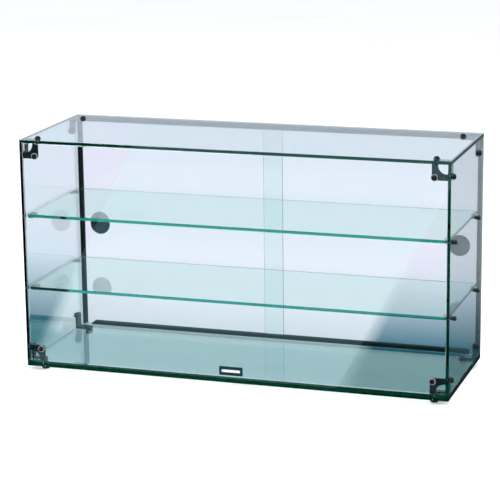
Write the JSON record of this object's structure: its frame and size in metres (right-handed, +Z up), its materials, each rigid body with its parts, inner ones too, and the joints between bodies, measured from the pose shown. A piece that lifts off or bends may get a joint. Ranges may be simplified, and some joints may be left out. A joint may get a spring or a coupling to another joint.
{
  "type": "countertop glass display case",
  "caption": "Countertop glass display case with glass shelves, black corner connectors and two glass doors that slide in black tracks across the rear.",
  "frame": {"origin": "on the counter top, at the middle of the footprint of the bounding box", "axes": "+Z up, the glass front faces -Y, the sliding doors are at +Y, +X is to the right seen from the front"},
  "size_m": [0.912, 0.3152, 0.4947],
  "materials": {
    "panel_glass": "clear toughened, polished green edges",
    "shelf_glass": "clear toughened, polished green edges",
    "door_glass": "clear toughened, polished edges",
    "connector_black": "satin black cast",
    "screw_black": "black screw heads",
    "track_black": "satin black extrusion",
    "stud_plastic": "black, domed",
    "pull_plastic": "black, dished disc",
    "foot_rubber": "matt black",
    "badge": "dark blue-green, blank"
  },
  "bodies": {
    "case": {"badge": "badge", "base_panel": "panel_glass", "front_left_foot": "foot_rubber", "front_left_top_screw": "screw_black", "front_lower_left_connector": "connector_black", "front_lower_left_front_screw": "screw_black", "front_lower_left_side_screw": "screw_black", "front_lower_right_connector": "connector_black", "front_lower_right_front_screw": "screw_black", "front_lower_right_side_screw": "screw_black", "front_panel": "panel_glass", "front_right_foot": "foot_rubber", "front_right_top_screw": "screw_black", "front_upper_left_connector": "connector_black", "front_upper_left_front_screw": "screw_black", "front_upper_left_side_screw": "screw_black", "front_upper_right_connector": "connector_black", "front_upper_right_front_screw": "screw_black", "front_upper_right_side_screw": "screw_black", "left_jamb": "track_black", "left_panel": "panel_glass", "lower_shelf": "shelf_glass", "lower_shelf_front_left_stud": "stud_plastic", "lower_shelf_front_right_stud": "stud_plastic", "lower_shelf_rear_left_stud": "stud_plastic", "lower_shelf_rear_right_stud": "stud_plastic", "lower_track": "track_black", "rear_left_foot": "foot_rubber", "rear_left_top_screw": "screw_black", "rear_lower_left_connector": "connector_black", "rear_lower_left_side_screw": "screw_black", "rear_lower_right_connector": "connector_black", "rear_lower_right_side_screw": "screw_black", "rear_right_foot": "foot_rubber", "rear_right_top_screw": "screw_black", "rear_upper_left_connector": "connector_black", "rear_upper_left_side_screw": "screw_black", "rear_upper_right_connector": "connector_black", "rear_upper_right_side_screw": "screw_black", "right_jamb": "track_black", "right_panel": "panel_glass", "top_panel": "panel_glass", "upper_shelf": "shelf_glass", "upper_shelf_front_left_stud": "stud_plastic", "upper_shelf_front_right_stud": "stud_plastic", "upper_shelf_rear_left_stud": "stud_plastic", "upper_shelf_rear_right_stud": "stud_plastic", "upper_track": "track_black"},
    "left_door": {"left_door": "door_glass", "left_door_pull": "pull_plastic"},
    "right_door": {"right_door": "door_glass", "right_door_pull": "pull_plastic"}
  },
  "joints": [
    {"name": "left_door_slide", "type": "slide", "parent": "case", "child": "left_door", "axis": [1, 0, 0], "range_m": [0, 0.418]},
    {"name": "right_door_slide", "type": "slide", "parent": "case", "child": "right_door", "axis": [-1, 0, 0], "range_m": [0, 0.418]}
  ]
}
